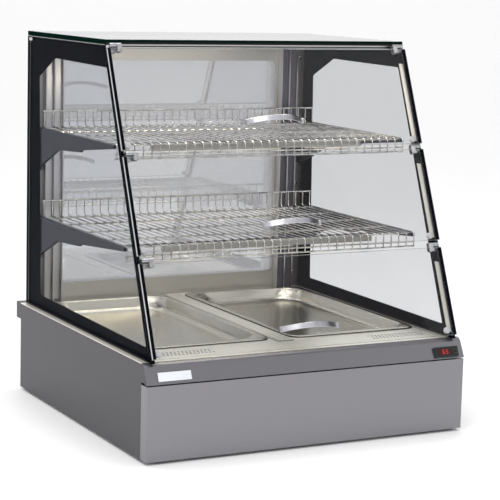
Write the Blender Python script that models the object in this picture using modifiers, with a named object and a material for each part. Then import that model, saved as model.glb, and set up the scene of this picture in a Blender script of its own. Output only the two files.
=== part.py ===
"""Hot food display case: heated countertop case with three front flaps, two wire shelves and two food pans.

Metres, +Z up. The case faces -Y, +X is its right-hand side seen from the front, and the origin is
the middle of its footprint on the counter. Sizes below are in millimetres and depths (Y) are
measured from the front of the base, then shifted by DEPTH_ORIGIN when an object is placed.
"""
import math
import bmesh
import bpy
from mathutils import Matrix, Vector

MM = 0.001
GAP = 0.3                    # clearance between pieces that touch

# Driving dimensions, mm
WIDTH = 780.0                # base width
BASE_DEPTH = 740.0           # base front to rear wall
DEPTH_ORIGIN = 388.754       # middle of the whole object's depth, from the base front
FOOT_HEIGHT = 6.0
PANEL_TOP = 166.0            # top of the front panel
FASCIA_BOTTOM = 169.3
DECK_TOP = 211.0
SHEET = 1.5                  # stainless sheet
GLASS = 6.0
GLASS_OUT = 374.0            # outer face of the side glasses, from the middle
TOP_GLASS_BOTTOM = 852.0
TOP_GLASS_THICK = 10.0
GLASS_REAR = 747.0
SLOPE_TAN = 0.42             # front of the side glasses leans back by this much per mm of height
SLOPE_FOOT = (12.0, 212.0)   # depth and height of the foot of that sloping line

PAN_LENGTH = 570.0
PAN_WIDTH = 325.0
PAN_DEEP = 30.0
PAN_SPACING = 378.0          # middle of one pan to the middle of the other
PAN_FRONT = 142.0
PAN_RIM = 2.6                # turned-down edge of the pan's flange
PAN_FLANGE_Z = 214.0

SHELF_TOPS = {"upper": 643.0, "lower": 431.0}
SHELF_FRONTS = {"upper": 244.0, "lower": 180.0}
SHELF_LIP = 36.0
SHELF_REAR = 674.0
SHELF_HALF = 366.0

FLAPS = {"upper": (842.0, 632.0), "middle": (619.0, 421.0), "lower": (405.0, 218.0)}  # top, bottom
HANDLE_Z = {"upper": 687.0, "middle": 471.0, "lower": 259.0}
FLAP_CLEAR = 2.0             # flap glass starts this far in front of the side glass edge

WINDOW_HALF = 290.0          # rear window
WINDOW_Z = (255.0, 793.0)
WINDOW_RADIUS = 14.0
FRAME_FRONT = 733.0          # rear frame's front face
FRAME_DEEP = 12.0
POST_MIDDLE = 317.0
POST_DEEP = 20.0
GROOVE_DEEP = 9.0

SLOPE = math.atan(SLOPE_TAN)


# ---------------------------------------------------------------- helpers

def clear_scene():
    for obj in list(bpy.data.objects):
        bpy.data.objects.remove(obj, do_unlink=True)


def collection(name):
    group = bpy.data.collections.new(name)
    bpy.context.scene.collection.children.link(group)
    return group


clear_scene()
PARTS = collection("hot_food_display_case")
CUTTERS = collection("cutters")


def material(name, colour, roughness, metallic=0.0, alpha=1.0):
    mat = bpy.data.materials.new(name)
    mat.use_nodes = True
    shader = mat.node_tree.nodes["Principled BSDF"]
    shader.inputs["Base Color"].default_value = (*colour, 1.0)
    shader.inputs["Roughness"].default_value = roughness
    shader.inputs["Metallic"].default_value = metallic
    shader.inputs["Alpha"].default_value = alpha
    return mat


STEEL = ((0.62, 0.61, 0.62), 0.32, 1.0)
CHROME = ((0.80, 0.80, 0.80), 0.12, 1.0)
CHARCOAL = ((0.035, 0.036, 0.045), 0.45, 0.0)
CLEAR = ((0.72, 0.80, 0.79), 0.05, 0.0, 0.35)
MIRROR = ((0.60, 0.62, 0.65), 0.04, 0.6, 0.6)
BLACK = ((0.02, 0.02, 0.022), 0.5, 0.0)
RUBBER = ((0.03, 0.03, 0.03), 0.8, 0.0)
GLOSS_DARK = ((0.03, 0.05, 0.05), 0.2, 0.0)
ALLOY = ((0.70, 0.70, 0.71), 0.35, 1.0)


def place(depth, height, x=0.0):
    """A point given by x, depth from the base front, and height, all mm, as a world position."""
    return Vector((x, depth - DEPTH_ORIGIN, height)) * MM


def add(name, mesh, look, matrix=None, group=None):
    obj = bpy.data.objects.new(name, mesh)
    (group or PARTS).objects.link(obj)
    if matrix is not None:
        obj.matrix_world = matrix
    if group is CUTTERS:
        obj.hide_render = True
        obj.display_type = 'WIRE'
    if look is not None:
        mesh.materials.clear()
        mesh.materials.append(material(name, *look))
    return obj


def box_mesh(name, low, high):
    """A cuboid between two corners (mm)."""
    low = Vector(low) * MM
    high = Vector(high) * MM
    size = high - low
    bm = bmesh.new()
    bmesh.ops.create_cube(bm, size=1.0)
    bmesh.ops.scale(bm, vec=size, verts=bm.verts)
    bmesh.ops.translate(bm, vec=(low + high) / 2, verts=bm.verts)
    mesh = bpy.data.meshes.new(name)
    bm.to_mesh(mesh)
    bm.free()
    return mesh


def box(name, look, x, depth, z, group=None, origin=None):
    """A cuboid from ranges of x, depth and height; its object sits at origin (x, depth, height)."""
    ox, od, oz = origin or ((x[0] + x[1]) / 2, (depth[0] + depth[1]) / 2, (z[0] + z[1]) / 2)
    low = (x[0] - ox, depth[0] - od, z[0] - oz)
    high = (x[1] - ox, depth[1] - od, z[1] - oz)
    return add(name, box_mesh(name, low, high), look, Matrix.Translation(place(od, oz, ox)), group)


def cylinder_mesh(name, radius, length, segments=16, top_radius=None):
    """A cylinder or cone frustum along local Z, centred."""
    bm = bmesh.new()
    bmesh.ops.create_cone(bm, cap_ends=True, segments=segments, radius1=radius * MM,
                          radius2=(radius if top_radius is None else top_radius) * MM, depth=length * MM)
    mesh = bpy.data.meshes.new(name)
    bm.to_mesh(mesh)
    bm.free()
    mesh.shade_smooth()
    mesh.set_sharp_from_angle(angle=math.radians(40))
    return mesh


def cylinder(name, look, centre, axis, radius, length, segments=16, group=None, top_radius=None):
    """A cylinder centred at (x, depth, height) along axis 'X', 'Y' or 'Z'."""
    turn = {'X': Matrix.Rotation(math.pi / 2, 4, 'Y'), 'Y': Matrix.Rotation(-math.pi / 2, 4, 'X'),
            'Z': Matrix.Identity(4)}[axis]
    x, depth, z = centre
    mesh = cylinder_mesh(name, radius, length, segments, top_radius)
    return add(name, mesh, look, Matrix.Translation(place(depth, z, x)) @ turn, group)


def rounded_rect(half_u, half_v, radius, steps=3, centre=(0.0, 0.0)):
    """Corner-rounded rectangle outline, anticlockwise, in mm."""
    points = []
    for quarter, (su, sv) in enumerate(((1, 1), (-1, 1), (-1, -1), (1, -1))):
        for step in range(steps + 1):
            angle = math.radians(90 * quarter + 90 * step / steps)
            points.append((centre[0] + su * (half_u - radius) + radius * math.cos(angle),
                           centre[1] + sv * (half_v - radius) + radius * math.sin(angle)))
    return points


def rect(u, v):
    return [(u[0], v[0]), (u[1], v[0]), (u[1], v[1]), (u[0], v[1])]


def strip_outline(path, thick):
    """Closed outline of a bent strip: the path, and the path moved by thick to its left."""
    moved = []
    for i, point in enumerate(path):
        ahead = Vector(path[min(i + 1, len(path) - 1)]) - Vector(path[max(i, 0) if i + 1 < len(path) else i - 1])
        behind = Vector(point) - Vector(path[i - 1]) if i else ahead
        first = Vector((-behind.y, behind.x)).normalized()
        second = Vector((-ahead.y, ahead.x)).normalized()
        middle = (first + second).normalized()
        moved.append(Vector(point) + middle * thick / max(0.3, middle.dot(first)))
    return list(path) + [tuple(p) for p in reversed(moved)]


def outline_mesh(name, outer, holes, thick):
    """A flat plate in local XY, thick along Z about its middle, from outlines in mm."""
    curve = bpy.data.curves.new(name, 'CURVE')
    curve.dimensions = '2D'
    curve.fill_mode = 'BOTH'
    curve.extrude = thick / 2 * MM
    for outline in [outer] + list(holes):
        spline = curve.splines.new('POLY')
        spline.points.add(len(outline) - 1)
        for point, (u, v) in zip(spline.points, outline):
            point.co = (u * MM, v * MM, 0.0, 1.0)
        spline.use_cyclic_u = True
    temp = bpy.data.objects.new(name + "_outline", curve)
    PARTS.objects.link(temp)
    bpy.context.view_layer.update()
    mesh = bpy.data.meshes.new_from_object(temp.evaluated_get(bpy.context.evaluated_depsgraph_get()))
    bpy.data.objects.remove(temp, do_unlink=True)
    bpy.data.curves.remove(curve)
    bm = bmesh.new()
    bm.from_mesh(mesh)
    bmesh.ops.remove_doubles(bm, verts=bm.verts, dist=0.00001)
    bmesh.ops.recalc_face_normals(bm, faces=bm.faces)
    bm.to_mesh(mesh)
    bm.free()
    mesh.name = name
    return mesh


# Local frames for flat plates: columns are the directions of the outline's u and v and the thickness
LYING = Matrix.Identity(4)                                       # u = X, v = depth, thickness = Z
FACING = Matrix(((1, 0, 0, 0), (0, 0, -1, 0), (0, 1, 0, 0), (0, 0, 0, 1)))   # u = X, v = Z, thickness = -Y
SIDEWAYS = Matrix(((0, 0, 1, 0), (1, 0, 0, 0), (0, 1, 0, 0), (0, 0, 0, 1)))  # u = depth, v = Z, thickness = X


def plate(name, look, frame, outer, thick, at, holes=(), group=None):
    """A flat outline placed with its local zero at (x, depth, height)."""
    x, depth, z = at
    mesh = outline_mesh(name, outer, holes, thick)
    return add(name, mesh, look, Matrix.Translation(place(depth, z, x)) @ frame, group)


def combine(target, tool, operation):
    """Boolean on target with tool; a union's tool becomes a hidden guide."""
    mod = target.modifiers.new(operation.lower(), 'BOOLEAN')
    mod.operation = operation
    mod.object = tool
    if tool.name not in CUTTERS.objects:
        PARTS.objects.unlink(tool)
        CUTTERS.objects.link(tool)
    tool.hide_render = True
    tool.display_type = 'WIRE'


def cut(target, tool):
    combine(target, tool, 'DIFFERENCE')


def join(target, tool):
    combine(target, tool, 'UNION')


def sided(side, low, high):
    """A range of x mirrored to the left (-1) or kept on the right (1)."""
    return tuple(sorted((side * low, side * high)))


def cut_box(target, name, x, depth, z):
    cut(target, box(name, None, x, depth, z, CUTTERS))


def join_box(target, name, x, depth, z):
    join(target, box(name, None, x, depth, z, CUTTERS))


def merged_boxes(name, ranges):
    """Separate cuboids in one cutter mesh, each given by ranges of x, depth and height."""
    bm = bmesh.new()
    for x, depth, z in ranges:
        low, high = place(depth[0], z[0], x[0]), place(depth[1], z[1], x[1])
        made = bmesh.ops.create_cube(bm, size=1.0)["verts"]
        bmesh.ops.scale(bm, vec=high - low, verts=made)
        bmesh.ops.translate(bm, vec=(low + high) / 2, verts=made)
    mesh = bpy.data.meshes.new(name)
    bm.to_mesh(mesh)
    bm.free()
    return add(name, mesh, None, Matrix.Identity(4), CUTTERS)


def slope_depth(z):
    """Depth of the side glasses' front edge at height z."""
    return SLOPE_FOOT[0] + SLOPE_TAN * (z - SLOPE_FOOT[1])


def slope_frame(z, out=0.0, x=0.0):
    """Frame on the glass slope at height z: local X = X, local Y = up the slope, local Z = outward."""
    up = Vector((0, math.sin(SLOPE), math.cos(SLOPE)))
    outward = Vector((0, -math.cos(SLOPE), math.sin(SLOPE)))
    origin = place(slope_depth(z), z, x) + outward * out * MM
    return Matrix((Vector((1, 0, 0, 0)), (*up, 0), (*outward, 0), (*origin, 1))).transposed()


# ---------------------------------------------------------------- base

def base_cabinet():
    outline = [(29.3, FOOT_HEIGHT), (BASE_DEPTH, FOOT_HEIGHT), (BASE_DEPTH, DECK_TOP - SHEET - GAP),
               (29.7, DECK_TOP - SHEET - GAP), (19.4, 204.4), (15.8, 199.0), (2.5, FASCIA_BOTTOM + SHEET + GAP),
               (29.3, FASCIA_BOTTOM + SHEET + GAP)]
    cabinet = plate("base_cabinet", STEEL, SIDEWAYS, outline, WIDTH, (0, 0, 0))
    inner = WIDTH / 2 - SHEET
    cut_box(cabinet, "cabinet_inside", (-inner, inner), (-40, BASE_DEPTH - SHEET),
            (FOOT_HEIGHT + SHEET, 260))
    # Rear wall: round hole for the cable gland, square hole for the main switch
    cut(cabinet, cylinder("gland_hole", None, (300, BASE_DEPTH, 60), 'Y', 10.6, 20, 16, CUTTERS))
    cut_box(cabinet, "switch_hole", (219, 241), (BASE_DEPTH - 10, BASE_DEPTH + 10), (45, 75))
    # Air intake slots in the floor under the fan
    slots = [((-50, 50), (375 + 16 * i, 381 + 16 * i), (0, 20)) for i in range(-3, 4)]
    cut(cabinet, merged_boxes("floor_slots", slots))


def front_panel():
    panel = box("front_panel", STEEL, (-WIDTH / 2, WIDTH / 2), (0, 29), (FOOT_HEIGHT, PANEL_TOP))
    inner = WIDTH / 2 - SHEET
    cut_box(panel, "panel_inside", (-inner, inner), (SHEET, 60), (FOOT_HEIGHT + SHEET, PANEL_TOP - SHEET))


FASCIA_FOOT = (-2.0, FASCIA_BOTTOM)
FASCIA_SHOULDER = (12.6, 203.0)
FASCIA_DIR = Vector((FASCIA_SHOULDER[0] - FASCIA_FOOT[0], FASCIA_SHOULDER[1] - FASCIA_FOOT[1])).normalized()


def fascia_frame(x, rise, out=0.0):
    """Frame on the sloped fascia: local X = X, local Y = up the strip, local Z = outward."""
    up = Vector((0, FASCIA_DIR.x, FASCIA_DIR.y))
    outward = Vector((0, -FASCIA_DIR.y, FASCIA_DIR.x))
    origin = place(FASCIA_FOOT[0], FASCIA_FOOT[1], x) + up * rise * MM + outward * out * MM
    return Matrix((Vector((1, 0, 0, 0)), (*up, 0), (*outward, 0), (*origin, 1))).transposed()


def fascia():
    """Sloped strip with a rolled top edge that meets the deck, and a short return at its foot."""
    roll = 17.0
    lean = math.atan2(FASCIA_DIR.x, FASCIA_DIR.y)
    centre = (30.0, DECK_TOP - roll)
    path = [(12.0, FASCIA_BOTTOM), FASCIA_FOOT]
    for step in range(6):
        angle = math.pi - lean - (math.pi / 2 - lean) * step / 5
        path.append((centre[0] + roll * math.cos(angle), centre[1] + roll * math.sin(angle)))
    outline = strip_outline(path, -SHEET)
    strip = plate("fascia", STEEL, SIDEWAYS, outline, WIDTH, (0, 0, 0))
    hole = box_mesh("thermostat_hole", (-28.6, -9.2, -30), (28.6, 9.2, 30))
    cut(strip, add("thermostat_hole", hole, None, fascia_frame(THERMOSTAT_X, THERMOSTAT_RISE), CUTTERS))


THERMOSTAT_X = 343.5
THERMOSTAT_RISE = 15.5
KEYS = ((20.2, 4.0), (26.4, 4.0), (20.2, -4.0), (26.4, -4.0))


def thermostat():
    frame = fascia_frame(THERMOSTAT_X, THERMOSTAT_RISE)
    body = add("thermostat_body", box_mesh("thermostat_body", (-31, -11.5, GAP), (31, 11.5, 4.0)), GLOSS_DARK, frame)
    join(body, add("thermostat_rear", box_mesh("thermostat_rear", (-28, -8.8, -18), (28, 8.8, 2.0)),
                   None, frame, CUTTERS))
    cut(body, add("thermostat_window", box_mesh("thermostat_window", (-26, -8, 3.0), (15, 8, 8.0)), None,
                  frame, CUTTERS))
    for number, (x, rise) in enumerate(KEYS, start=1):
        low, high = (x - 2.6, rise - 2.9), (x + 2.6, rise + 2.9)
        cut(body, add(f"key_well_{number}", box_mesh("well", (*low, 1.0), (*high, 8.0)), None, frame, CUTTERS))
        cap = box_mesh(f"thermostat_key_{number}", (-2.2, -2.5, -1.5), (2.2, 2.5, 1.2))
        shift = Matrix.Translation(Vector((x, rise, 3.6)) * MM)
        add(f"thermostat_key_{number}", cap, CHARCOAL, frame @ shift)


FEET = [(-340, 50), (340, 50), (-340, 690), (340, 690)]


def feet():
    names = ("foot_front_left", "foot_front_right", "foot_rear_left", "foot_rear_right")
    for name, (x, depth) in zip(names, FEET):
        cylinder(name, RUBBER, (x, depth, (FOOT_HEIGHT - GAP) / 2), 'Z', 15, FOOT_HEIGHT - GAP, 20, top_radius=17)


def cable_gland():
    """Turned gland through the rear wall: collar inside the cabinet, dome outside, bore for the cord."""
    outer = [(6.0, -14.0), (9.9, -14.0), (9.9, -8.0), (14.0, -8.0), (14.0, -2.0), (10.0, -2.0), (10.0, 0.4),
             (15.0, 0.4), (15.0, 7.0), (12.0, 12.0), (8.5, 17.0), (6.0, 17.0)]
    bm = bmesh.new()
    verts = [bm.verts.new((r * MM, 0, h * MM)) for r, h in outer]
    edges = [bm.edges.new((verts[i], verts[(i + 1) % len(verts)])) for i in range(len(verts))]
    bmesh.ops.spin(bm, geom=verts + edges, cent=(0, 0, 0), axis=(0, 0, 1), angle=math.tau, steps=16,
                   use_merge=True)
    bmesh.ops.remove_doubles(bm, verts=bm.verts, dist=0.00001)
    bmesh.ops.recalc_face_normals(bm, faces=bm.faces)
    mesh = bpy.data.meshes.new("cable_gland")
    bm.to_mesh(mesh)
    bm.free()
    mesh.shade_smooth()
    mesh.set_sharp_from_angle(angle=math.radians(40))
    turn = Matrix.Rotation(-math.pi / 2, 4, 'X')
    add("cable_gland", mesh, BLACK, Matrix.Translation(place(BASE_DEPTH, 60, 300)) @ turn)


def main_switch():
    """Rocker switch in the rear wall: a bezel with a well, and a rocker on a lengthwise axis."""
    housing = box("main_switch_housing", BLACK, (216, 244), (BASE_DEPTH + GAP, BASE_DEPTH + 3), (42, 78))
    join_box(housing, "switch_barrel", (219.5, 240.5), (BASE_DEPTH - 22, BASE_DEPTH + 1), (45.5, 74.5))
    cut_box(housing, "switch_well", (222, 238), (BASE_DEPTH - 12, BASE_DEPTH + 10), (48, 72))
    tilt = Matrix.Rotation(math.radians(-8), 4, 'X')
    cap = box_mesh("main_switch_rocker", (-7.5, -5.5, -10.5), (7.5, 5.0, 10.5))
    add("main_switch_rocker", cap, GLOSS_DARK, Matrix.Translation(place(BASE_DEPTH - 1, 60, 230)) @ tilt)


# ---------------------------------------------------------------- deck, pans and grille

def deck_vents():
    """Vents: three staggered rows in front of each pan, and a broken line along each side of the deck."""
    through = (DECK_TOP - 10, DECK_TOP + 10)
    half, pitch = 2.6, 9.0
    holes = []
    for side in (-1, 1):
        for row, depth in enumerate((77, 90, 103)):
            for column in range(15):
                x = side * (200 + pitch * (column + row % 2 / 2))
                holes.append(((x - half, x + half), (depth - half, depth + half), through))
        for start, count in ((70, 11), (392, 12)):
            for row in range(count):
                depth = start + 26 * row
                holes.append((sorted((side * 355, side * 365)), (depth, depth + 12), through))
    return holes


def deck():
    cut_half_u = (PAN_WIDTH - 20) / 2
    cut_half_v = (PAN_LENGTH - 20) / 2
    middle = PAN_FRONT + PAN_LENGTH / 2
    openings = [rounded_rect(cut_half_u, cut_half_v, 26, 4, (side * PAN_SPACING / 2, middle)) for side in (-1, 1)]
    openings.append(rect((-14, 14), (140, 715)))
    outer = rect((-WIDTH / 2, WIDTH / 2), (30 + GAP, BASE_DEPTH))
    sheet = plate("deck", STEEL, LYING, outer, SHEET, (0, 0, DECK_TOP - SHEET / 2), openings)
    cut(sheet, merged_boxes("deck_vents", deck_vents()))


def pan(name, side):
    """Shallow gastronorm pan: flange with a turned-down edge, drafted walls, rounded corners, open at the top."""
    sections = [(0.5, -PAN_RIM, 28.0), (0.5, 0.0, 28.0), (11.0, 0.0, 30.0), (13.5, -2.5, 31.0), (16.0, -PAN_DEEP + 8, 31.0),
                (18.5, -PAN_DEEP + 3, 30.0), (25.0, -PAN_DEEP, 27.0)]
    bm = bmesh.new()
    loops = []
    for inset, drop, radius in sections:
        outline = rounded_rect(PAN_WIDTH / 2 - inset, PAN_LENGTH / 2 - inset, radius, 4)
        loops.append([bm.verts.new((u * MM, v * MM, drop * MM)) for u, v in outline])
    for upper, lower in zip(loops, loops[1:]):
        for i in range(len(upper)):
            j = (i + 1) % len(upper)
            bm.faces.new((upper[i], upper[j], lower[j], lower[i]))
    bm.faces.new(loops[-1])
    bmesh.ops.recalc_face_normals(bm, faces=bm.faces)
    mesh = bpy.data.meshes.new(name)
    bm.to_mesh(mesh)
    bm.free()
    mesh.shade_smooth()
    mesh.set_sharp_from_angle(angle=math.radians(50))
    middle = PAN_FRONT + PAN_LENGTH / 2
    obj = add(name, mesh, STEEL, Matrix.Translation(place(middle, PAN_FLANGE_Z, side * PAN_SPACING / 2)))
    shell = obj.modifiers.new("sheet", 'SOLIDIFY')
    shell.thickness = 0.9 * MM
    shell.offset = 0.0


def centre_grille():
    grille = box("centre_grille", STEEL, (-20, 20), (121, 729), (DECK_TOP + GAP, DECK_TOP + GAP + SHEET))
    slots = [((-15, 15), (131 + 15 * i, 138 + 15 * i), (DECK_TOP - 10, DECK_TOP + 10)) for i in range(39)]
    cut(grille, merged_boxes("grille_slots", slots))


# ---------------------------------------------------------------- heating and air under the deck

def heater(name, side):
    """Tubular element: one U bend pair under its pan, both ends forward of the rear wall."""
    x0 = side * PAN_SPACING / 2
    spread = 45
    path = [(x0 - 3 * spread, 640), (x0 - 3 * spread, 190), (x0 - spread, 190), (x0 - spread, 600),
            (x0 + spread, 600), (x0 + spread, 190), (x0 + 3 * spread, 190), (x0 + 3 * spread, 640)]
    curve = bpy.data.curves.new(name, 'CURVE')
    curve.dimensions = '3D'
    curve.bevel_depth = 4.2 * MM
    curve.bevel_resolution = 1
    curve.use_fill_caps = True
    points = [Vector((path[0][0], path[0][1]))]
    corner = 22
    for before, here, after in zip(path, path[1:], path[2:]):
        here_v = Vector(here)
        into = (Vector(before) - here_v).normalized() * corner
        away = (Vector(after) - here_v).normalized() * corner
        for step in range(4):
            t = step / 3
            points.append(here_v + into * (1 - t) ** 2 + away * t ** 2)
    points.append(Vector(path[-1]))
    spline = curve.splines.new('POLY')
    spline.points.add(len(points) - 1)
    for point, where in zip(spline.points, points):
        point.co = (*place(where.y, 150, where.x), 1.0)
    temp = bpy.data.objects.new(name + "_route", curve)
    PARTS.objects.link(temp)
    bpy.context.view_layer.update()
    mesh = bpy.data.meshes.new_from_object(temp.evaluated_get(bpy.context.evaluated_depsgraph_get()))
    bpy.data.objects.remove(temp, do_unlink=True)
    bpy.data.curves.remove(curve)
    bm = bmesh.new()
    bm.from_mesh(mesh)
    bmesh.ops.remove_doubles(bm, verts=bm.verts, dist=0.00001)
    bmesh.ops.recalc_face_normals(bm, faces=bm.faces)
    bm.to_mesh(mesh)
    bm.free()
    mesh.shade_smooth()
    add(name, mesh, ((0.25, 0.22, 0.20), 0.5, 0.8))


def heater_support():
    """Welded frame between the cabinet's side walls that the elements rest on."""
    half = WIDTH / 2 - SHEET - GAP
    top = 150 - 4.2 - GAP
    support = box("heater_support", STEEL, (-half, half), (250, 270), (top - 3, top))
    join_box(support, "heater_support_rear", (-half, half), (550, 570), (top - 3, top))
    for side in (-1, 1):
        middle = side * PAN_SPACING / 2
        join_box(support, f"heater_support_{side}", (middle - 10, middle + 10), (255, 565), (top - 2.8, top - 0.2))


FAN_AT = (0.0, 378.0, 26.8)     # x, depth, height of the middle of the fan


def fan():
    """Axial fan lying flat: square frame with a round duct and a spider, and a bladed impeller."""
    x, depth, z = FAN_AT
    frame = box("fan_housing", BLACK, (x - 60, x + 60), (depth - 60, depth + 60), (z - 19, z + 19))
    cut(frame, cylinder("fan_duct", None, (x, depth, z + 4), 'Z', 56.5, 38, 28, CUTTERS))
    sectors = []
    for number in range(4):
        start = 90 * number + 5
        arc = [(56.5 * math.cos(math.radians(start + 80 * s / 4)), 56.5 * math.sin(math.radians(start + 80 * s / 4)))
               for s in range(5)]
        inner = [(24 * math.cos(math.radians(start + 4 + 72 * s / 2)),
                  24 * math.sin(math.radians(start + 4 + 72 * s / 2))) for s in range(2, -1, -1)]
        sectors.append(arc + inner)
    for number, outline in enumerate(sectors):
        cut(frame, plate(f"fan_sector_{number}", None, LYING, outline, 30, (x, depth, z - 19), group=CUTTERS))
    join(frame, cylinder("fan_shaft", None, (x, depth, z - 9), 'Z', 3.0, 14, 16, CUTTERS))
    hub = cylinder("fan_impeller", BLACK, (x, depth, z + 2.5), 'Z', 22, 28, 20)
    cut(hub, cylinder("fan_bore", None, (x, depth, z - 10), 'Z', 3.4, 20, 16, CUTTERS))
    for number in range(5):
        angle = math.tau * number / 5
        blade = box_mesh(f"fan_blade_{number}", (15, -1.2, -14), (52, 1.2, 14))
        turn = Matrix.Rotation(angle, 4, 'Z') @ Matrix.Rotation(math.radians(52), 4, 'X')
        join(hub, add(f"fan_blade_{number}", blade, None,
                      Matrix.Translation(place(depth, z + 2.5, x)) @ turn, CUTTERS))


# ---------------------------------------------------------------- glass body

def side_glass(name, side):
    low, high = DECK_TOP + GAP, TOP_GLASS_BOTTOM - GAP
    outline = [(slope_depth(low), low), (GLASS_REAR, low), (GLASS_REAR, high), (slope_depth(high), high)]
    middle = side * (GLASS_OUT - GLASS / 2)
    plate(name, CLEAR, SIDEWAYS, outline, GLASS, (middle, 0, 0))


def top_glass():
    front = slope_depth(TOP_GLASS_BOTTOM)
    glass = box("top_glass", CLEAR, (-GLASS_OUT, GLASS_OUT), (front, GLASS_REAR),
                (TOP_GLASS_BOTTOM, TOP_GLASS_BOTTOM + TOP_GLASS_THICK))
    arris = glass.modifiers.new("arris", 'BEVEL')
    arris.width = 0.8 * MM
    arris.segments = 1


def front_tie_bar():
    """Slim alloy profile under the top glass between the side glasses."""
    front = slope_depth(TOP_GLASS_BOTTOM) + 9
    top = TOP_GLASS_BOTTOM - 2 * GAP
    path = [(front, top - 6.4), (front, top), (front + 20, top), (front + 20, top - 6.4)]
    half = 346.0
    plate("front_tie_bar", ALLOY, SIDEWAYS, strip_outline(path, -2.0), 2 * half, (0, 0, 0))


# ---------------------------------------------------------------- rear frame and door

DOOR_AXIS = (346.0, 758.0)      # x and depth of the rear door's upright hinge axis
DOOR_HALF = 336.0
DOOR_Z = (232.0, 810.0)


def rear_frame():
    """Folded stainless surround with one round-cornered window, and lugs with pins for the door."""
    half = GLASS_OUT - GLASS - GAP
    low, high = DECK_TOP + GAP, TOP_GLASS_BOTTOM - GAP
    mid_z = (WINDOW_Z[0] + WINDOW_Z[1]) / 2
    window_v = (WINDOW_Z[1] - WINDOW_Z[0]) / 2
    window = rounded_rect(WINDOW_HALF, window_v, WINDOW_RADIUS, 3, (0, mid_z))
    face_mid = FRAME_FRONT + SHEET / 2
    frame = plate("rear_frame", STEEL, FACING, rect((-half, half), (low, high)), SHEET, (0, face_mid, 0), [window])
    ring_mid = FRAME_FRONT + FRAME_DEEP / 2
    lip = rounded_rect(WINDOW_HALF + SHEET, window_v + SHEET, WINDOW_RADIUS + SHEET, 3, (0, mid_z))
    join(frame, plate("window_return", None, FACING, lip, FRAME_DEEP - 0.2, (0, ring_mid, 0), [window], CUTTERS))
    inner = rect((-half + SHEET, half - SHEET), (low + SHEET, high - SHEET))
    join(frame, plate("edge_return", None, FACING, rect((-half + 0.1, half - 0.1), (low + 0.1, high - 0.1)),
                      FRAME_DEEP - 0.4, (0, ring_mid, 0), [inner], CUTTERS))
    x, depth = DOOR_AXIS
    for name, lug, pin in (("upper", (817.0, 820.0), (802.0, 818.0)), ("lower", (222.0, 225.0), (224.0, 240.0))):
        join_box(frame, f"lug_{name}", (x - 9, x + 9), (FRAME_FRONT + 0.5, depth + 7), lug)
        centre = (x, depth, (pin[0] + pin[1]) / 2)
        join(frame, cylinder(f"lug_pin_{name}", None, centre, 'Z', 3.0, pin[1] - pin[0], 16, CUTTERS))


def rear_ledge():
    """Folded ledge along the rear of the base, open underneath."""
    low, high = 172.0, DECK_TOP
    ledge = box("rear_ledge", STEEL, (-WIDTH / 2, WIDTH / 2), (BASE_DEPTH + GAP, 768), (low, high))
    inner = WIDTH / 2 - SHEET
    cut_box(ledge, "ledge_inside", (-inner, inner), (BASE_DEPTH + GAP + SHEET, 768 - SHEET), (low - 30, high - SHEET))


def rear_door():
    x, depth = DOOR_AXIS
    glass_depth = (755.0, 761.0)
    origin = (x, depth, (DOOR_Z[0] + DOOR_Z[1]) / 2)
    box("rear_door_glass", MIRROR, (-DOOR_HALF, DOOR_HALF), glass_depth, DOOR_Z, origin=origin)
    for name, z in (("upper", (798.0, 816.5)), ("lower", (225.5, 244.0))):
        clamp = f"rear_door_hinge_{name}"
        body = box(clamp, CHROME, (x - 30, x + 7), (749.5, 766.5), z, origin=(x, depth, sum(z) / 2))
        cut_box(body, clamp + "_slot", (x - 60, DOOR_HALF + GAP), (glass_depth[0] - GAP, glass_depth[1] + GAP),
                (DOOR_Z[0] - GAP, DOOR_Z[1] + GAP))
        cut(body, cylinder(clamp + "_bore", None, (x, depth, sum(z) / 2), 'Z', 3.4, 40, 16, CUTTERS))
    x_grip = -DOOR_HALF + 10
    path = [(glass_depth[1] + GAP, 430), (glass_depth[1] + 20, 430), (glass_depth[1] + 26, 436),
            (glass_depth[1] + 26, 584), (glass_depth[1] + 20, 590), (glass_depth[1] + GAP, 590)]
    outline = strip_outline(path, 4.0)
    grip = outline_mesh("rear_door_handle", [(u - depth, v - origin[2]) for u, v in outline], (), 14)
    centre = Matrix.Translation(place(depth, origin[2], x)) @ Matrix.Translation(Vector((x_grip - x, 0, 0)) * MM)
    add("rear_door_handle", grip, CHROME, centre @ SIDEWAYS)


def rear_post(name, side):
    """Upright beside the window with two long grooves in its front face, open to the rear."""
    half, wall, ridge, lip = 23.0, 1.8, 1.5, 2.5
    front, rear = FRAME_FRONT - GAP - POST_DEEP, FRAME_FRONT - GAP
    groove = front + GROOVE_DEEP
    right = [(ridge, front), (ridge, groove), (half - lip, groove), (half - lip, front), (half, front),
             (half, rear), (half - wall, rear), (half - wall, groove + wall)]
    outline = right + [(-x, depth) for x, depth in reversed(right)]
    low, high = DECK_TOP + GAP, TOP_GLASS_BOTTOM - 11
    plate(name, STEEL, LYING, outline, high - low, (side * POST_MIDDLE, 0, (low + high) / 2))


# ---------------------------------------------------------------- shelves

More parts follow.
